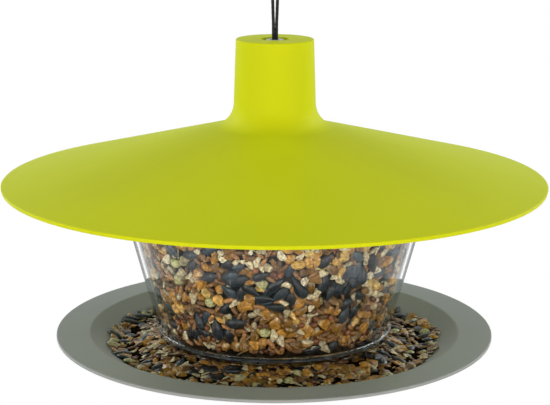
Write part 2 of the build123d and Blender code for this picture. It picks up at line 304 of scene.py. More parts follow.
def clear_plastic(name, tint):
    """Clear acrylic moulded in a polished tool.

    The eye sees the seed through it, grey and white streaks where the wall is looked along, a bright
    line on the lip, and slow ripples in its reflections. Lamps shine through it, as through a thin wall.
    """
    ripple_width = 25 * MM
    ripple_depth = 0.2 * MM
    material, tree = new_material(name)
    place = add(tree, "TexCoord").outputs["Object"]
    ripple = add(tree, "TexNoise", {"Vector": place, "Scale": 1 / ripple_width, "Detail": 1.0})
    bump = add(tree, "Bump", {"Height": ripple, "Strength": 0.1, "Distance": ripple_depth})
    shader = add(tree, "BsdfPrincipled", {
        "Base Color": tint, "Roughness": 0.0, "IOR": 1.49, "Transmission Weight": 1.0,
        "Specular Tint": linear("DDDFE0"), "Normal": bump})
    passing = add(tree, "BsdfTransparent", {"Color": tint})
    path = add(tree, "LightPath").outputs
    mix = add(tree, "MixShader", {0: path["Is Shadow Ray"], 1: shader, 2: passing})
    depth = add(tree, "VolumeAbsorption", {"Color": linear("CBD1D1"), "Density": 55.0})
    add(tree, "OutputMaterial", {"Surface": mix, "Volume": depth})
    return material


def plated_steel(name, shade):
    """Zinc plated steel, stamped from sheet: bright, with fine rolling lines and a dull bloom."""
    line_length = 2 * MM
    line_depth = 0.02 * MM
    lines_per_length = 12
    material, tree = new_material(name)
    place = add(tree, "TexCoord").outputs["Object"]
    stretched = add(tree, "Mapping", {"Vector": place, "Scale": (1, lines_per_length, 1)})
    line = add(tree, "TexNoise", {"Vector": stretched, "Scale": 1 / line_length, "Detail": 4.0})
    bloom = add(tree, "MapRange", {"Value": line, "To Min": 0.22, "To Max": 0.42})
    bump = add(tree, "Bump", {"Height": line, "Strength": 0.2, "Distance": line_depth})
    shader = add(tree, "BsdfPrincipled", {
        "Base Color": shade, "Metallic": 1.0, "Roughness": bloom, "Normal": bump})
    add(tree, "OutputMaterial", {"Surface": shader})
    return material


def braided_cord(name, shade):
    """Braided polyester: dull black yarn with a little shine on the top of each crossing.

    The attribute relief runs from 0 between the yarns to 1 on their crowns. The colour is painted darker
    between the yarns, as painted shade, and lighter on their crowns, as a painted highlight.
    """
    material, tree = new_material(name)
    relief = add(tree, "Attribute", attribute_name="relief").outputs["Fac"]
    contrast = 0.5
    # Painted shade between the yarns and a painted highlight on their crowns
    shaded_hollow, crown = toned(shade, 1 - contrast), toned(shade, 1 + contrast)
    yarn = add(tree, "Mix", {0: relief, 6: shaded_hollow, 7: crown}, data_type="RGBA")
    shine = add(tree, "MapRange", {"Value": relief, "To Min": 0.75, "To Max": 0.45})
    shader = add(tree, "BsdfPrincipled", {
        "Base Color": yarn, "Roughness": shine, "IOR": 1.5, "Specular IOR Level": 0.25,
        "Sheen Weight": 0.04})
    add(tree, "OutputMaterial", {"Surface": shader})
    return material


# Cord: the part's free route in millimetres, sideways and up, with its strands touching at the tube's mouth

CORD_ROUTE = [
    (-0.87, -100.4), (-0.87, -91.0), (-1.12, -87.0), (-3.27, -9.9), (-3.583, 0.9),
    (3.583, 0.9), (3.27, -9.9), (1.12, -87.0), (0.87, -91.0), (0.87, -100.4),
]
ROUTE_RESOLUTION = 110
CORD_SIDES = 16
YARNS = 4
BRAID_PITCH = 6 * MM
BRAID_DEPTH = 0.05
STRAND_STEP = 0.5 * MM
KNOT_TURNS = 3
KNOT_TURN_STEPS = 48
KNOT_TAIL = 3 * MM


def smooth_route(route):
    """Points along the cord's smooth line, as Blender evaluates a spline with the route's points."""
    curve = bpy.data.curves.new("cord_route", "CURVE")
    curve.dimensions = "3D"
    spline = curve.splines.new("NURBS")
    spline.points.add(len(route) - 1)
    spline.points.foreach_set("co", np.array([(x * MM, 0, z * MM, 1) for x, z in route]).ravel())
    spline.order_u = 3
    spline.use_endpoint_u = True
    spline.resolution_u = ROUTE_RESOLUTION
    holder = bpy.data.objects.new("cord_route", curve)
    line = bpy.data.meshes.new_from_object(holder)
    points = np.empty(3 * len(line.vertices), np.float32)
    line.vertices.foreach_get("co", points)
    bpy.data.meshes.remove(line)
    bpy.data.objects.remove(holder)
    bpy.data.curves.remove(curve)
    return points.reshape(-1, 3).astype(float)


def cord_surface(path, across, diameter):
    """Braided cord round a path. At run s and angle a its radius is r(1 - d(1 - w)), where the weave w
    is the larger of |cos(ka + cs)| and |cos(ka - cs)|: two sets of yarns that wind opposite ways."""
    along = unit(np.gradient(path, axis=0))
    side = unit(np.cross(across, along))
    front = np.cross(along, side)
    run = np.concatenate(([0], np.cumsum(np.linalg.norm(np.diff(path, axis=0), axis=1))))[:, None]
    angle = TURN * np.arange(CORD_SIDES) / CORD_SIDES
    wind = TURN * run / BRAID_PITCH
    weave = np.maximum(np.abs(np.cos(YARNS * angle + wind)), np.abs(np.cos(YARNS * angle - wind)))
    radius = (diameter / 2 * (1 - BRAID_DEPTH * (1 - weave)))[..., None]
    round_ = np.cos(angle)[:, None] * side[:, None] + np.sin(angle)[:, None] * front[:, None]
    rings = path[:, None] + radius * round_
    points = np.concatenate((path[:1], rings.reshape(-1, 3), path[-1:]))
    relief = np.concatenate(([0], weave.ravel(), [0]))
    return points, relief, *tube_faces(len(path), CORD_SIDES)


def put_cord(name, surfaces):
    """One piece from several cord surfaces."""
    points, reliefs, corners, counts = zip(*surfaces)
    starts = np.cumsum([0] + [len(each) for each in points[:-1]])
    shifted = [each + start for each, start in zip(corners, starts)]
    return put_mesh(name, np.concatenate(points), np.concatenate(shifted), np.concatenate(counts),
                    relief=np.concatenate(reliefs))


def upright(x, low, high):
    """Points straight up at one x."""
    height = np.arange(low, high, STRAND_STEP)
    return np.stack((np.full_like(height, x), np.zeros_like(height), height), 1)


# Seed forms. Each gives points for a unit seed from its angles: bow runs from 0 at one end to pi at
# the other, spin goes round the seed, and lumps holds a few random numbers for each seed.

def teardrop_form(bow, spin, lumps):
    """Sunflower seed: at the share t of its length its half-width is sin(pi t^blunt)^full, its section
    sharpens to the edges, and its back is humped."""
    blunt, full = 0.66, 0.85
    sharpness, hump = 0.25, 0.16
    along = (1 - np.cos(bow)) / 2
    swell = np.sin(np.pi * along ** blunt) ** full
    crown = np.sin(spin) * (1 - sharpness + sharpness * np.abs(np.sin(spin)))
    back = hump * lumps[:, :1] * (1 - (2 * along - 1) ** 2)
    return along - 0.5, swell * np.cos(spin) / 2, swell * crown / 2 + back


def chip_form(bow, spin, lumps):
    """Cracked maize: a boxy round, sign(c)|c|^boxy in each direction c, wider at one end, with two
    random waves over it."""
    boxy, taper = 0.85, 0.3
    first_wave, second_wave = 0.13, 0.11
    along, round_ = np.cos(bow), np.sin(bow)
    side, up = round_ * np.cos(spin), round_ * np.sin(spin)
    wave = 1 + first_wave * np.sin(3 * along * lumps[:, :1] + 4 * side + 6 * lumps[:, 1:2])
    wave = wave + second_wave * np.sin(5 * side * lumps[:, 1:2] - 3 * up + 6 * lumps[:, 2:3])
    x, y, z = (np.sign(part) * np.abs(part) ** boxy / 2 for part in (-along, side, up))
    return x * wave, y * wave * (1 + taper * along), z * wave


def grain_form(bow, spin, lumps):
    """Wheat: a plump arched spindle, half-width sin(bow)^full, with a groove along its underside."""
    full, arching = 0.8, 0.5
    underside, groove_depth, groove_width = 0.75 * TURN, 0.35, 0.45
    along = -np.cos(bow) / 2
    groove = 1 - groove_depth * np.exp(-((spin - underside) / groove_width) ** 2)
    swell = np.sin(bow) ** full * groove / 2
    arch = arching * lumps[:, :1] * along ** 2
    return along, swell * np.cos(spin), swell * np.sin(spin) - arch


def flake_form(bow, spin, lumps):
    """Rolled cereal flake: a thin round whose rim waves three times, curled like a saddle and tilted."""
    waving, blunt = 0.2, 0.6
    saddle, tilt = 3.2, 1.5
    along, side = -np.cos(bow) / 2, np.sin(bow) * np.cos(spin) / 2
    rim = 1 + waving * np.sin(3 * np.arctan2(side, along) + 6 * lumps[:, :1])
    curl = saddle * (lumps[:, 1:2] - 0.5) * (along ** 2 - side ** 2) + tilt * (lumps[:, 2:3] - 0.5) * along
    return along * rim, side * rim, np.sin(bow) ** blunt * np.sin(spin) / 2 + curl


def round_form(bow, spin, lumps):
    """Sorghum: a ball, a little drawn out at the end where it grew."""
    pull, pull_width = 0.1, 0.5
    drawn = -np.cos(bow) / 2 - pull * np.exp(-((bow / pull_width) ** 2)) * lumps[:, :1]
    return drawn, np.sin(bow) * np.cos(spin) / 2, np.sin(bow) * np.sin(spin) / 2


def half_form(bow, spin, lumps):
    """Split pea: half a ball with a cut face that is nearly flat."""
    bulge, sink = 0.08, 0.45
    up = np.sin(bow) * np.sin(spin)
    face = bulge * lumps[:, :1] + bulge
    return -np.cos(bow) / 2, np.sin(bow) * np.cos(spin) / 2, np.maximum(up, -face * np.abs(up)) - sink


def sliver_form(bow, spin, lumps):
    """Straw: a long thin strip, half-width sin(bow)^blunt, with a bend in it."""
    blunt, bending = 0.3, 3.0
    along = -np.cos(bow) / 2
    strip = np.sin(bow) ** blunt / 2
    bend = bending * (lumps[:, :1] - 0.5) * along ** 2
    return along, strip * np.cos(spin) + bend, strip * np.sin(spin)


class SeedKind(NamedTuple):
    """One kind of seed: its form, its part of the mix, its width and thickness as shares of its length,
    how its length varies, its grid, lean and patchiness, how much more of it lies at the top of a pile,
    and whether its skin is smooth."""

    form: Callable
    share: float
    width: float
    thickness: float
    spread: float
    rings: int
    sides: int
    lean: float = 0.30
    patchy: float = 0.30
    rises: float = 0.0
    smooth: bool = True


SEED_KINDS = {
    "sunflower": SeedKind(teardrop_form, 0.06, 0.54, 0.36, 0.10, 6, 8, lean=0.16, patchy=0.45),
    "maize": SeedKind(chip_form, 0.23, 0.80, 0.58, 0.20, 5, 8, patchy=0.35, rises=0.5, smooth=False),
    "wheat": SeedKind(grain_form, 0.34, 0.46, 0.42, 0.12, 5, 6, rises=-0.3),
    "flake": SeedKind(flake_form, 0.20, 0.66, 0.28, 0.20, 5, 8, lean=0.40, rises=0.7, smooth=False),
    "sorghum": SeedKind(round_form, 0.08, 0.95, 0.85, 0.12, 4, 7, rises=-0.6),
    "pea": SeedKind(half_form, 0.015, 1.00, 0.52, 0.10, 5, 8, lean=0.40, patchy=0.20),
    "straw": SeedKind(sliver_form, 0.02, 0.12, 0.05, 0.25, 4, 4, lean=0.20, rises=0.3, smooth=False),
}

# How far a seed's length may stray from its kind's
LENGTH_LIMITS = (0.6, 1.4)

# Spacing of a bed's profile, and how many of its samples a corner's normal is blended over
BED_STEP = 1 * MM
CORNER_BLEND = 9

# Steps round and up a bed that lay points evenly: powers of the root of x^3 = x + 1
EVEN_STEPS = 1.3247179572447460 ** np.array([-1, -2])

# Spreading: rounds, how far off a neighbour counts, what each seed backs off of an overlap, how close
# outlines may come, the least distance, and a bed's usual radius as a share of its largest
SPREAD_STEPS = 60
SPREAD_REACH = 12 * MM
SPREAD_SHARE = 0.28
SPREAD_CLOSENESS = 0.97
LEAST_APART = 0.01 * MM
USUAL_RADIUS = 0.7

# Slow waves in the mix: how many go round a bed, and the shortest up it
WAVE_TURNS = (3, 5, 8, 13)
WAVE_LENGTH = 28 * MM

# Two layers of seed, from their least to their greatest depth, and under them a dark core of painted shade
LAYER_DEPTHS = ((0.1 * MM, 2.2 * MM), (2.4 * MM, 4.6 * MM))
SHADE_CORE_DEPTH = 5 * MM
SHADE_CORE_SIDES = 96

# The smaller grains work through to the tray
TRAY_GRAIN = 0.9

# Where sunflower seeds lie together at the hopper's front: degrees to the right of the
# middle, and millimetres above the lip, to each side and up and down
SUNFLOWER_CLUMPS = (
    (-33, 68, 12, 8), (-20, 47, 16, 5), (-4, 45, 14, 5), (12, 43, 12, 5), (38, 52, 18, 11),
    (-18, 32, 5, 7), (-31, 21, 6, 5), (-42, 16, 5, 6), (40, 30, 7, 7), (20, 6, 8, 3),
)

# How strongly they gather, the share that strays, and the front's middle and half-width in radians
CLUMP_GAIN = 9
CLUMP_SCATTER = 0.15
FRONT = -np.pi / 2
FRONT_HALF = 1.2


class Bed(NamedTuple):
    """Profile of a seed bed turned about Z, sampled along its run, with its outward normal."""

    run: np.ndarray
    radius: np.ndarray
    height: np.ndarray
    normal: np.ndarray


class Pile(NamedTuple):
    """Seed in one place: its body and CAD node, its bed, the corners of its dark core of painted shade with
    those among them that take painted light, its clumps, how thick its seeds are, how bright they are at
    its foot, darker on the tray as painted shade, how much lighter at its top as painted light, and a
    rule that keeps them clear."""

    body: str
    node: str
    bed: Bed
    heart: list
    painted_light_corners: tuple
    clumps: tuple
    flatness: float
    brightness: float
    painted_light_up: float
    keep_clear: Callable


def turned_bed(corners):
    """Bed along a line of (radius, height) corners, with seed on its left and air on its right."""
    corners = np.array(corners)
    ends = np.concatenate(([0], np.cumsum(np.hypot(*np.diff(corners, axis=0).T))))
    run = np.arange(0, ends[-1], BED_STEP)
    radius, height = (np.interp(run, ends, corners[:, axis]) for axis in (0, 1))
    window = np.ones(CORNER_BLEND)
    outward = np.convolve(np.gradient(height), window, "same")
    upward = np.convolve(-np.gradient(radius), window, "same")
    return Bed(run, radius, height, unit(np.stack((outward, upward), 1)))


def hopper_pile():
    """Seed against the hopper's wall and heaped on top, with a skirt inside it. Behind the lip, painted
    shade shows as a dark band over a grey band of painted light.
    """
    low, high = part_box("hopper_seed")
    taper = np.tan(np.radians(15))
    bore = 9 * MM
    heap = 6 * MM
    lip_height = 4.3 * MM
    skirt = 5 * MM
    skirt_end = 16 * MM
    painted_light_height = 1.6 * MM
    behind_lip = 0.8 * MM
    wall_top = high.z - heap
    lip_radius = high.x - taper * (wall_top - low.z)
    bed = turned_bed([
        (lip_radius - skirt_end, low.z), (lip_radius - skirt, low.z),
        (lip_radius - skirt + taper * lip_height, low.z + lip_height),
        (lip_radius + taper * lip_height, low.z + lip_height), (high.x, wall_top), (bore, high.z),
    ])
    # Its dark core is painted shade, with a grey band of painted light low behind the lip
    heart = [
        (bore, low.z + SHADE_CORE_DEPTH), (lip_radius - 2 * SHADE_CORE_DEPTH, low.z + SHADE_CORE_DEPTH),
        (lip_radius - 3 * behind_lip, low.z + behind_lip), (lip_radius - behind_lip, low.z + behind_lip),
        (lip_radius + taper * painted_light_height - behind_lip, low.z + painted_light_height),
        (lip_radius + taper * lip_height - behind_lip, low.z + lip_height),
        (lip_radius + taper * 2 * lip_height - SHADE_CORE_DEPTH, low.z + 2 * lip_height),
        (high.x - SHADE_CORE_DEPTH, wall_top - SHADE_CORE_DEPTH), (bore, high.z - SHADE_CORE_DEPTH),
    ]

    def keep_clear(points):
        """Seeds moved in from the wall, and up to the lip's level."""
        reach = off_axis(points)
        over = np.clip((reach - lip_radius - taper * (points[..., 2] - low.z)).max(1), 0, None)
        middle = points.mean(1)
        inward = -unit(middle * (1, 1, 0))
        points = points + (inward * over[:, None])[:, None]
        points[..., 2] += np.clip(low.z - points[..., 2].min(1), 0, None)[:, None]
        return points, off_axis(middle) > bore

    # Corners 2 to 4 of the core, low behind the lip, take painted light; the seeds are painted lighter
    # upward
    return Pile("hopper", "hopper_seed", bed, heart, painted_light_corners=(2, 3, 4), clumps=SUNFLOWER_CLUMPS,
                flatness=1.0, brightness=0.60, painted_light_up=0.36, keep_clear=keep_clear)


def tray_pile():
    """Seed that has run out on the tray: level under the lip, and thinning up the tray's wall. It lies
    flatter than in the hopper, and its seeds are darker, as painted shade under the roof and the hopper."""
    low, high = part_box("tray_seed")
    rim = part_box("feed_tray")[1]
    flange = 19.2 * MM
    basin_slope = 16.3 / 28
    bare_wall = 10.1 * MM
    edge_depth = 1.6 * MM
    shoulder_inset = 9 * MM
    shoulder_depth = 3.6 * MM
    lip = 68 * MM
    spreader = 27 * MM
    settled = 0.6 * MM
    shade_core_inset = 5 * MM
    shade_core_lift = 0.3 * MM
    shade_core_floor = (45 * MM, 79 * MM)
    shade_core_spreader = 34 * MM
    wall_gap = 0.1 * MM
    leg_ring = 66 * MM
    leg_angles = np.pi / 4 + np.pi / 2 * np.arange(4)
    beside_leg = 9 * MM
    before_leg = 5 * MM
    ragged_mean = 2.5 * MM
    ragged_depth = 1.5 * MM
    basin_edge = rim.x - flange
    edge = basin_edge - bare_wall
    shoulder = edge - shoulder_inset
    top = high.z - settled
    shade_core_edge = edge - shade_core_inset

    def basin(radius):
        """Height of the tray's sloping wall."""
        return rim.z - basin_slope * (basin_edge - radius)

    bed = turned_bed([
        (edge, basin(edge) + edge_depth), (shoulder, basin(shoulder) + shoulder_depth), (lip, top),
        (spreader, top),
    ])
    # Its dark core is painted shade between the seeds
    heart = [
        (shade_core_floor[0], low.z), (shade_core_floor[1], low.z), (shade_core_edge, basin(shade_core_edge) + shade_core_lift),
        (lip, high.z - SHADE_CORE_DEPTH), (shade_core_spreader, high.z - SHADE_CORE_DEPTH),
    ]

    def keep_clear(points):
        """Seeds lifted off the tray's wall, with a ragged edge, and none round the hopper's legs."""
        reach = off_axis(points)
        sunk = np.clip((basin(reach) + wall_gap - points[..., 2]).max(1), 0, None)
        points[..., 2] += sunk[:, None]
        middle = points.mean(1)
        angle = np.arctan2(middle[:, 1], middle[:, 0])
        radius = off_axis(middle)
        beside = np.abs(wrapped(angle[:, None] - leg_angles)).min(1) * radius
        at_leg = (beside < beside_leg) & (np.abs(radius - leg_ring) < before_leg)
        ragged = ragged_depth * (np.sin(7 * angle) * np.sin(3 * angle + 1) + np.sin(19 * angle))
        return points, ~at_leg & (radius < edge - ragged_mean + ragged)

    # Its seeds are kept darker, as painted shade under the roof and the hopper
    return Pile("tray", "tray_seed", bed, heart, painted_light_corners=(), clumps=(),
                flatness=0.55, brightness=0.38, painted_light_up=0.0, keep_clear=keep_clear)


def outline_reach(long, wide, turn, heading):
    """Distance from the middle of an ellipse to its edge in a heading."""
    angle = heading - turn
    return long * wide / np.hypot(wide * np.cos(angle), long * np.sin(angle))


def spread(bed, theta, run, long, wide, turn):
    """Move seeds apart over the bed: two whose outlines, taken as ellipses, overlap along the line
    between their middles both back off by a share of the overlap, many times over."""
    neighbours = int(len(theta) * SPREAD_REACH / (TURN * USUAL_RADIUS * bed.radius.max()))
    for _ in range(SPREAD_STEPS):
        radius = np.interp(run, bed.run, bed.radius)
        order = np.argsort(theta)
        move = np.zeros((2, len(theta)))
        for offset in range(1, neighbours + 1):
            other = np.roll(order, -offset)
            across = wrapped(theta[other] - theta[order]) * (radius[order] + radius[other]) / 2
            up = run[other] - run[order]
            apart = np.hypot(across, up) + LEAST_APART
            heading = np.arctan2(up, across)
            reach = outline_reach(long[order], wide[order], turn[order], heading)
            reach = reach + outline_reach(long[other], wide[other], turn[other], heading)
            push = SPREAD_SHARE * np.clip(SPREAD_CLOSENESS * reach - apart, 0, None) / apart
            step = np.stack((across, up)) * push
            move[:, order] -= step
            move[:, other] += step
        theta = (theta + move[0] / radius) % TURN
        run = np.clip(run + move[1], bed.run[0], bed.run[-1])
    return theta, run


def clumped(pile, theta, run):
    """How much a seed's place is in a clump, from 0 to 1: bell curves in width and height round each."""
    radius, height = (np.interp(run, pile.bed.run, line) for line in (pile.bed.radius, pile.bed.height))
    within = np.zeros(len(theta))
    for degrees, rise, half_width, half_height in pile.clumps:
        across = wrapped(theta - FRONT - np.radians(degrees)) * radius / MM
        up = (height - pile.bed.height.min()) / MM - rise
        within += np.exp(-(across / half_width) ** 2 - (up / half_height) ** 2)
    return np.minimum(within, 1)


def pick_kinds(rng, pile, theta, run):
    """Index of each seed's kind: the mix's shares, raised and lowered by slow random waves over the bed
    and by height, as small grains sift down. At the front of a pile with clumps, they stand in for the
    waves of the sunflower seeds."""
    height = np.interp(run, pile.bed.run, pile.bed.height)
    level = 2 * (height - height.min()) / np.ptp(height) - 1 if pile.clumps else 0
    weights = {}
    for name, kind in SEED_KINDS.items():
        wave = np.zeros(len(theta))
        for turns in WAVE_TURNS:
            phase, climb = rng.uniform(0, TURN), rng.uniform(-1, 1) * TURN / WAVE_LENGTH
            wave += np.cos(turns * theta + climb * run + phase)
        weights[name] = kind.share * np.exp(kind.patchy * wave + kind.rises * level)
    if pile.clumps:
        front = np.exp(-(wrapped(theta - FRONT) / FRONT_HALF) ** 4)
        steered = SEED_KINDS["sunflower"].share * (CLUMP_SCATTER + CLUMP_GAIN * clumped(pile, theta, run))
        weights["sunflower"] = weights["sunflower"] * (1 - front) + steered * front
    levels = np.cumsum(list(weights.values()), axis=0)
    return (rng.uniform(0, 1, len(theta)) * levels[-1] > levels).sum(0)


def seed_axes(rng, bed, theta, run, turn, lean):
    """Length, width and thickness directions of each seed, lying on the bed and leaning a little."""
    outward, upward = (np.interp(run, bed.run, bed.normal[:, axis]) for axis in (0, 1))
    normal = unit(round_axis(outward, theta, upward))
    round_ = np.stack((-np.sin(theta), np.cos(theta), np.zeros_like(theta)), 1)
    climb = np.cross(normal, round_)
    cosine, sine = np.cos(turn)[:, None], np.sin(turn)[:, None]
    leans = rng.normal(0, 1, (2, len(theta), 1)) * lean[:, None]
    long = unit(cosine * round_ + sine * climb + leans[0] * normal)
    wide = cosine * climb - sine * round_ + leans[1] * normal
    wide = unit(wide - (wide * long).sum(1, keepdims=True) * long)
    return np.stack((long, wide, np.cross(long, wide)), 1), normal


def seed_angles(kind):
    """Bow and spin of each point of a seed's grid: a pole, its rings, and a pole."""
    bow = np.pi * np.arange(1, kind.rings + 1) / (kind.rings + 1)
    spin = TURN * np.arange(kind.sides) / kind.sides
    bows = np.concatenate(([0], np.repeat(bow, kind.sides), [np.pi]))
    spins = np.concatenate(([0], np.tile(spin, kind.rings), [0]))
    return bows, spins


def lay_layer(rng, pile, count, lengths, depths):
    """One layer of seed on a pile's bed: for each kind, its seeds' points and their tones."""
    bed = pile.bed
    area = np.cumsum(bed.radius)
    places = (EVEN_STEPS * np.arange(count)[:, None] + rng.uniform(0, 1, 2)) % 1
    theta = TURN * places[:, 0]
    run = np.interp(area[-1] * places[:, 1], area, bed.run)
    picked = pick_kinds(rng, pile, theta, run)
    kinds = SEED_KINDS.values()
    width, thickness, grown, lean = np.array([(k.width, k.thickness, k.spread, k.lean) for k in kinds]).T
    long = lengths[picked] * np.clip(rng.normal(1, grown[picked]), *LENGTH_LIMITS)
    wide, thick = long * width[picked], long * thickness[picked] * pile.flatness
    turn = rng.uniform(0, TURN, count)
    theta, run = spread(bed, theta, run, long / 2, wide / 2, turn)
    axes, normal = seed_axes(rng, bed, theta, run, turn, lean[picked] * pile.flatness)
    radius, height = (np.interp(run, bed.run, line) for line in (bed.radius, bed.height))
    middle = round_axis(radius, theta, height)
    depth = rng.uniform(*depths, count)
    lumps = rng.uniform(0, 1, (count, 3))
    level = (height - bed.height.min()) / np.ptp(bed.height)
    # Each seed's tone is random, within a range painted darker on the tray, as painted shade, and lighter
    # up the hopper, as painted light
    tone = (pile.brightness + pile.painted_light_up * level) * rng.uniform(0, 1, count)
    layer = {}
    for index, (name, kind) in enumerate(SEED_KINDS.items()):
        mine = picked == index
        form = np.stack(np.broadcast_arrays(*kind.form(*seed_angles(kind), lumps[mine])), 2)
        sized = form * np.stack((long, wide, thick), 1)[mine][:, None]
        points = np.einsum("spk,skc->spc", sized, axes[mine])
        proud = np.einsum("spc,sc->sp", points, normal[mine]).max(1)
        points += (middle[mine] - normal[mine] * (proud + depth[mine])[:, None])[:, None]
        points, kept = pile.keep_clear(points)
        layer[name] = points[kept], tone[mine][kept]
    return layer


def pour(pile, count, lengths, materials, shade, seed):
    """Lay the mix on a pile's bed in layers, as one piece for each kind of seed round a dark core of
    painted shade.

    The attribute form holds a point's place along and round its seed, and on the core marks where painted
    light lies; tone holds a number for each seed, random within a range that carries painted shade and
    light.
    """
    rng = np.random.default_rng(seed)
    layers = [lay_layer(rng, pile, count, lengths, depths) for depths in LAYER_DEPTHS]
    for name, kind in SEED_KINDS.items():
        points, tones = (np.concatenate(each) for each in zip(*(layer[name] for layer in layers)))
        corners, counts = tube_faces(kind.rings, kind.sides)
        bow, spin = seed_angles(kind)
        form = np.stack(((1 - np.cos(bow)) / 2, np.cos(spin), np.sin(spin)), 1)
        laid, per_seed = points.shape[:2]
        corners = (corners + per_seed * np.arange(laid)[:, None]).ravel()
        piece = put_mesh(f"{pile.body}_{name}", points.reshape(-1, 3), corners, np.tile(counts, laid),
                         kind.smooth, form=np.tile(form, (laid, 1)), tone=np.repeat(tones, per_seed))
        dress(piece, materials[name], pile.body, "seed_mix")

    angle = TURN * np.arange(SHADE_CORE_SIDES) / SHADE_CORE_SIDES
    radius, height = np.array(pile.heart).T[..., None]
    heart = round_axis(radius, angle, height)
    # Painted light: the corners that the pile lists take the second colour of the core's skin
    form = np.zeros_like(heart)
    form[list(pile.painted_light_corners), :, 0] = 1
    piece = put_mesh(f"{pile.body}_heart", heart.reshape(-1, 3), *ring_faces(len(heart), SHADE_CORE_SIDES),
                     form=form.reshape(-1, 3))
    dress(piece, shade, pile.body, "seed_mix", pile.node)


class Marking(NamedTuple):
    """Where a seed's skin takes another colour: along it (X), across it (Y) or over it (Z)."""

    axis: str
    start: float
    stop: float
    strength: float


def seed_skin(name, shade, accent, marking, roughness, mottle, relief, wax=1.0):
    """Dry seed skin: each seed has its own tone, a mottled surface, a marking and a soft waxy shine. The
    tone and some markings also carry painted shade and light.
    """
    material, tree = new_material(name)
    place = add(tree, "TexCoord").outputs["Object"]
    tone = add(tree, "Attribute", attribute_name="tone").outputs["Fac"]
    form = add(tree, "Attribute", attribute_name="form").outputs["Vector"]
    across = add(tree, "SeparateXYZ", {"Vector": form}).outputs[marking.axis]
    marked = add(tree, "MapRange", {"Value": across, "From Min": marking.start, "From Max": marking.stop,
                                    "To Max": marking.strength})
    darker, lighter, faded = 0.25, 2.1, 0.25
    dull, pale = toned(shade, darker), toned(blend(shade, accent, faded), lighter)
    ramp = add(tree, "ValToRGB", {"Fac": tone}, [(0.0, dull), (0.5, shade), (1.0, pale)])
    skin = add(tree, "Mix", {0: marked, 6: ramp, 7: accent}, data_type="RGBA")
    noise = add(tree, "TexNoise", {"Vector": place, "Scale": 1 / mottle, "Detail": 3.0})
    cloudy = add(tree, "MapRange", {"Value": noise, "From Min": 0.32, "From Max": 0.68, "To Min": 0.4,
                                    "To Max": 1.4})
    body = add(tree, "Mix", {0: 1.0, 6: skin, 7: cloudy}, data_type="RGBA", blend_type="MULTIPLY")
    bump = add(tree, "Bump", {"Height": noise, "Strength": 0.8, "Distance": relief})
    shader = add(tree, "BsdfPrincipled", {
        "Base Color": body, "Roughness": roughness, "IOR": 1.5, "Specular IOR Level": 0.5 * wax,
        "Coat Weight": 0.12 * wax, "Coat Roughness": 0.2, "Normal": bump})
    add(tree, "OutputMaterial", {"Surface": shader})
    return material


def seed_materials(mix):
    """A skin for each kind of seed. The real mottle is finer, and drawn coarse enough to show."""
    pale, dark, slate = linear("E9DDB4"), linear("3A1F0E"), linear("5F7682")
    ends = Marking("X", 0.75, 1.0, 0.7)
    # Painted shade: the wheat's crease, on its underside, is drawn darker
    shaded_crease = Marking("Z", -0.6, -1.0, 0.8)
    edges = Marking("Y", 0.5, 1.0, 0.3)
    # Painted light: flakes and split peas are paler on the side that faces out of the pile
    face = Marking("Z", 0.2, 0.6, 0.45)
    skins = {
        "sunflower": ("sunflower_hull_dry", slate, edges, 0.34, 1.2, 0.10),
        "maize": ("maize_kernel_cracked", pale, ends, 0.30, 1.6, 0.35),
        "wheat": ("wheat_bran_dry", dark, shaded_crease, 0.34, 1.3, 0.20),
        "flake": ("cereal_flake_rolled", pale, face, 0.42, 1.4, 0.35),
        "sorghum": ("sorghum_skin_waxy", dark, ends, 0.28, 1.5, 0.08),
        "pea": ("split_pea_cut", pale, face, 0.45, 1.5, 0.10),
        "straw": ("straw_dry", pale, ends, 0.50, 1.0, 0.05),
    }
    return {
        kind: seed_skin(name, getattr(mix, kind), accent, marking, roughness, mottle * MM, relief * MM)
        for kind, (name, accent, marking, roughness, mottle, relief) in skins.items()
    }


# Stage

class SoftBox(NamedTuple):
    """Rectangular lamp in front of, behind or to the right of the feeder: place, sides and tint."""

    place: tuple
    sides: tuple
    tint: tuple


WARM = (1.0, 0.85, 0.75)
COOL = (0.93, 1.0, 1.0)
FRONT_BOX = SoftBox((0, -1.7, -0.22), (1.0, 0.7), WARM)
SIDE_BOX = SoftBox((1.35, -1.1, -0.18), (0.5, 0.8), WARM)
REAR_BOX = SoftBox((1.2, 0.8, 0.6), (0.9, 0.9), COOL)
SENSOR_WIDTH = 36
FLOOR_HALF = 8.0

# Light strips and dark gaps on the floor, as the clear wall reflects them: how far round
# from straight behind to straight in front, and how bright
STRIPS = (
    (0.0, 0.30), (0.04, 0.10), (0.13, 0.13), (0.165, 0.20), (0.185, 0.75), (0.205, 0.75), (0.225, 0.30),
    (0.25, 0.20), (0.265, 0.45), (0.285, 0.25), (0.305, 0.50), (0.33, 0.20), (0.36, 0.35), (0.40, 0.10),
    (0.45, 0.35), (0.55, 0.10), (0.62, 0.50), (0.70, 0.10), (1.0, 0.30),
)


# Operators

class FEEDER_OT_mouldings(bpy.types.Operator):
    """Finish the roof, the tray and the tube as moulded plastic, and the washer as plated steel"""

    bl_idname = "feeder.mouldings"
    bl_label = "Finish mouldings"

    def execute(self, context):
        finish = context.scene.feeder_finish
        finishes = {
            "roof_shell": moulded_plastic("lime_polypropylene_moulded", finish.lime,
                                          roughness=0.52, specular=0.07, grain=0.8 * MM),
            "feed_tray": moulded_plastic("grey_polypropylene_moulded", finish.grey,
                                         roughness=0.52, specular=0.3, grain=0.7 * MM),
            "centre_tube": moulded_plastic("grey_polyethylene_extruded", finish.tube,
                                           roughness=0.45, specular=0.4, grain=0.5 * MM),
            "knot_washer": plated_steel("steel_zinc_plated", finish.steel),
        }
        for node, material in finishes.items():
            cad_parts[node].material_slots[0].material = material
        return {"FINISHED"}


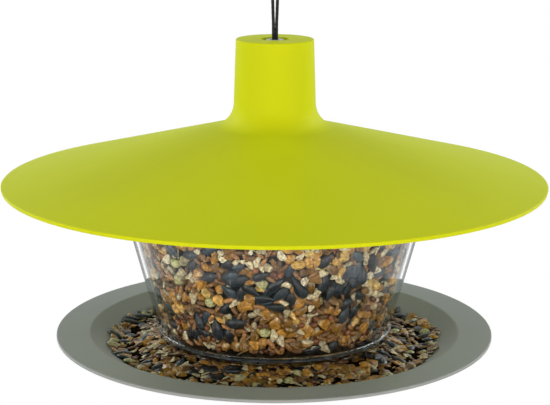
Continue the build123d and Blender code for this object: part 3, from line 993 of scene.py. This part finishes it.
class FEEDER_OT_hopper(bpy.types.Operator):
    """Finish the hopper as clear plastic"""

    bl_idname = "feeder.hopper"
    bl_label = "Finish hopper"

    def execute(self, context):
        material = clear_plastic("clear_acrylic_polished", context.scene.feeder_finish.clear)
        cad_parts["seed_hopper"].material_slots[0].material = material
        return {"FINISHED"}


class FEEDER_OT_cord(bpy.types.Operator):
    """Run the braided cord: its free loop, its strands in the tube, and the knot that holds it"""

    bl_idname = "feeder.cord"
    bl_label = "Run cord"

    def execute(self, context):
        finish = context.scene.feeder_finish
        diameter = finish.cord_diameter
        material = braided_cord("black_polyester_braided", finish.cord)
        level, upwards = (0, 1, 0), (0, 0, 1)

        path = smooth_route(CORD_ROUTE)
        loop = put_cord("hanging_cord", [cord_surface(path, level, diameter)])
        dress(loop, material, "tray", "black_cord", "hanging_loop")

        low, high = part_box("cord_legs")
        strands = path[0, 0], path[-1, 0]
        uprights = [upright(x, low.z, high.z) for x in strands]
        legs = put_cord("tube_strands", [cord_surface(line, level, diameter) for line in uprights])
        dress(legs, material, "tray", "black_cord", "cord_legs")

        low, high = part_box("stopper_knot")
        reach = high.x - diameter / 2
        turned = np.linspace(0, KNOT_TURNS * TURN, KNOT_TURNS * KNOT_TURN_STEPS)
        fall = np.linspace(high.z - diameter / 2, low.z + KNOT_TAIL + diameter / 2, len(turned))
        surfaces = [cord_surface(round_axis(reach, turned, fall), upwards, diameter)]
        surfaces += [cord_surface(upright(x, low.z, high.z), level, diameter) for x in strands]
        dress(put_cord("barrel_knot", surfaces), material, "tray", "black_cord", "stopper_knot")
        return {"FINISHED"}


class FEEDER_OT_seed(bpy.types.Operator):
    """Pour mixed seed into the hopper and let it run out on the tray"""

    bl_idname = "feeder.seed"
    bl_label = "Pour seed"

    def execute(self, context):
        mix = context.scene.feeder_seed
        materials = seed_materials(mix)
        # The dark core is painted shade, with painted light in its grey band behind the hopper's lip
        painted_lip_light = Marking("X", 0.5, 1, 1)
        shade = seed_skin("seed_heap_shade", mix.shade, mix.painted_lip_light, painted_lip_light, roughness=0.8, mottle=4 * MM,
                          relief=0.8 * MM, wax=0.0)
        lengths = np.array([getattr(mix, f"{name}_length") for name in SEED_KINDS])
        pour(hopper_pile(), mix.hopper_count, lengths, materials, shade, RANDOM_SEED)
        pour(tray_pile(), mix.tray_count, TRAY_GRAIN * lengths, materials, shade, RANDOM_SEED + 1)
        return {"FINISHED"}


class FEEDER_OT_stage(bpy.types.Operator):
    """Set the camera, the soft light and the pale floor"""

    bl_idname = "feeder.stage"
    bl_label = "Set stage"

    def execute(self, context):
        stage = context.scene.feeder_stage
        scene = context.scene
        scene.view_settings.view_transform = "Standard"
        roof_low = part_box("roof_shell")[0].z
        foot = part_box("feed_tray")[0].z

        lens = bpy.data.cameras.new("camera")
        lens.lens = stage.camera_lens
        lens.sensor_width = SENSOR_WIDTH
        camera = put("camera", lens)
        camera.location = (stage.camera_side, -stage.camera_distance, roof_low + stage.camera_height)
        tilt = Matrix.Rotation(np.pi / 2 - stage.camera_pitch, 3, "X")
        camera.rotation_euler = (tilt @ Matrix.Rotation(stage.camera_roll, 3, "Z")).to_euler()
        scene.camera = camera

        self.lamp("front_softbox", FRONT_BOX, 1, stage.front_light, roof_low)
        for name, side in (("left", -1), ("right", 1)):
            self.lamp(f"{name}_softbox", SIDE_BOX, side, stage.side_light, roof_low)
            self.lamp(f"{name}_rear_softbox", REAR_BOX, side, stage.rear_light, roof_low)
        self.studio(stage)
        self.floor(stage, foot - stage.floor_drop)
        return {"FINISHED"}

    def lamp(self, name, box, side, power, target):
        """Soft box on its own side (1) or mirrored (-1), facing the feeder's axis at a height."""
        light = bpy.data.lights.new(name, "AREA")
        light.shape = "RECTANGLE"
        light.size, light.size_y = box.sides
        light.energy = power
        light.color = box.tint
        holder = put(name, light)
        x, y, z = box.place
        holder.location = (side * x, y, z)
        aim = Vector((0, 0, target)) - holder.location
        holder.rotation_euler = aim.to_track_quat("-Z", "Y").to_euler()

    def studio(self, stage):
        """White to the camera, a dimmer backdrop through the hopper, and to the feeder walls that are
        brighter than the ceiling, and brighter still in reflections."""
        world = bpy.data.worlds.new("studio")
        bpy.context.scene.world = world
        world.use_nodes = True
        tree = world.node_tree
        tree.nodes.clear()
        heading = add(tree, "TexCoord").outputs["Generated"]
        rise = add(tree, "SeparateXYZ", {"Vector": heading}).outputs["Z"]
        climb = {"Value": rise, "From Min": 0.1, "From Max": 0.65, "To Max": stage.ceiling}
        walls = add(tree, "MapRange", {**climb, "To Min": stage.walls}, interpolation_type="SMOOTHSTEP")
        gloss = add(tree, "MapRange", {**climb, "To Min": 1.0}, interpolation_type="SMOOTHSTEP")
        path = add(tree, "LightPath").outputs
        lit = add(tree, "Mix", {0: path["Is Glossy Ray"], 2: walls, 3: gloss})
        through = add(tree, "Mix", {0: path["Is Transmission Ray"], 2: lit, 3: stage.backdrop})
        level = add(tree, "Mix", {0: path["Is Camera Ray"], 2: through, 3: 1.0})
        sky = add(tree, "Background", {"Color": WHITE, "Strength": level})
        add(tree, "OutputWorld", {"Surface": sky})

    def floor(self, stage, height):
        """Wide pale floor: it takes the feeder's shadow, fades to the white studio further off, is as dim
        as the backdrop through the hopper, and shows light strips in reflections."""
        signs = (-1, -1), (1, -1), (1, 1), (-1, 1)
        corners = [(x * FLOOR_HALF, y * FLOOR_HALF, height) for x, y in signs]
        mesh = bpy.data.meshes.new("floor")
        mesh.from_pydata(corners, [], [(0, 1, 2, 3)])
        floor = put("floor", mesh)
        material, tree = new_material("floor_paper_white")
        place = add(tree, "TexCoord").outputs["Object"]
        flat = add(tree, "VectorMath", {0: place, 1: (1, 1, 0)}, operation="MULTIPLY")
        away = add(tree, "VectorMath", {0: flat}, operation="LENGTH")
        fade = add(tree, "MapRange", {"Value": away, "From Min": 0.15, "From Max": 0.6, "To Min": 0.45,
                                      "To Max": 1.0})
        sides = add(tree, "SeparateXYZ", {"Vector": place}).outputs
        angle = add(tree, "Math", {0: sides["X"], 1: sides["Y"]}, operation="ARCTAN2")
        turned = add(tree, "Math", {0: angle}, operation="ABSOLUTE")
        around = add(tree, "MapRange", {"Value": turned, "From Max": np.pi})
        strips = add(tree, "ValToRGB", {"Fac": around},
                     [(share, (glow, glow, glow)) for share, glow in STRIPS])
        strip = add(tree, "MapRange", {"Value": strips, "To Max": stage.strips})
        path = add(tree, "LightPath").outputs
        seen = add(tree, "Math", {0: path["Is Camera Ray"], 1: path["Is Transmission Ray"]},
                   operation="MAXIMUM")
        seen = add(tree, "Math", {0: seen, 1: path["Is Glossy Ray"]}, operation="MAXIMUM")
        lift = add(tree, "Math", {0: seen, 1: fade}, operation="MULTIPLY")
        paper = add(tree, "BsdfDiffuse", {"Color": linear("E1E1E1")})
        shine = add(tree, "Mix", {0: path["Is Glossy Ray"], 2: 1.0, 3: strip})
        bright = add(tree, "Mix", {0: path["Is Transmission Ray"], 2: shine, 3: stage.backdrop})
        white = add(tree, "Emission", {"Color": WHITE, "Strength": bright})
        both = add(tree, "MixShader", {0: lift, 1: paper, 2: white})
        add(tree, "OutputMaterial", {"Surface": both})
        mesh.materials.append(material)


SETTINGS = {"feeder_finish": FeederFinish, "feeder_seed": FeederSeed, "feeder_stage": FeederStage}
OPERATORS = (FEEDER_OT_mouldings, FEEDER_OT_hopper, FEEDER_OT_cord, FEEDER_OT_seed, FEEDER_OT_stage)


class FEEDER_PT_sidebar(bpy.types.Panel):
    """The feeder's settings and steps"""

    bl_idname = "FEEDER_PT_sidebar"
    bl_label = "Hanging seed feeder"
    bl_space_type = "VIEW_3D"
    bl_region_type = "UI"
    bl_category = "Feeder"

    def draw(self, context):
        for operator in OPERATORS:
            self.layout.operator(operator.bl_idname)
        for label, group in SETTINGS.items():
            column = self.layout.column(align=True)
            for setting in group.__annotations__:
                column.prop(getattr(context.scene, label), setting)


CLASSES = (*SETTINGS.values(), *OPERATORS, FEEDER_PT_sidebar)


def register():
    for each in CLASSES:
        bpy.utils.register_class(each)
    for label, group in SETTINGS.items():
        setattr(bpy.types.Scene, label, PointerProperty(type=group))


def unregister():
    for label in SETTINGS:
        delattr(bpy.types.Scene, label)
    for each in reversed(CLASSES):
        bpy.utils.unregister_class(each)


def main():
    """Build every piece in order."""
    register()
    bpy.ops.feeder.mouldings()
    bpy.ops.feeder.hopper()
    bpy.ops.feeder.cord()
    bpy.ops.feeder.seed()
    bpy.ops.feeder.stage()


if __name__ == "__main__":
    main()
